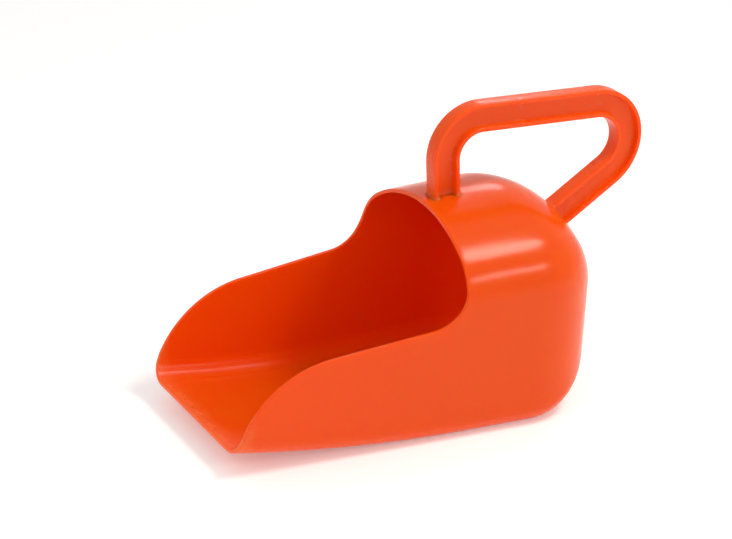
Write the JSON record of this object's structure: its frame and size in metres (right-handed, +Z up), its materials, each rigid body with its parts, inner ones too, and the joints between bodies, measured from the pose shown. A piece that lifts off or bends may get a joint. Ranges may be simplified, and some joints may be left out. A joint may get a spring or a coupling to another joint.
{
  "type": "hand scoop",
  "caption": "Deep plastic hand scoop with a hooded back, open rounded mouth and a ribbed loop handle on top, for leaves, feed or soil.",
  "frame": {"origin": "on the ground under the middle of the overall length, on the plane of symmetry", "axes": "+Z up, +X from the lip towards the back and handle end, Y across"},
  "size_m": [0.3023, 0.1398, 0.1865],
  "materials": {
    "bowl_plastic": "orange polypropylene, semi-gloss, as moulded",
    "handle_plastic": "orange polypropylene, semi-gloss, as moulded"
  },
  "bodies": {
    "root": {"scoop_bowl": "bowl_plastic", "loop_handle": "handle_plastic"}
  },
  "joints": []
}
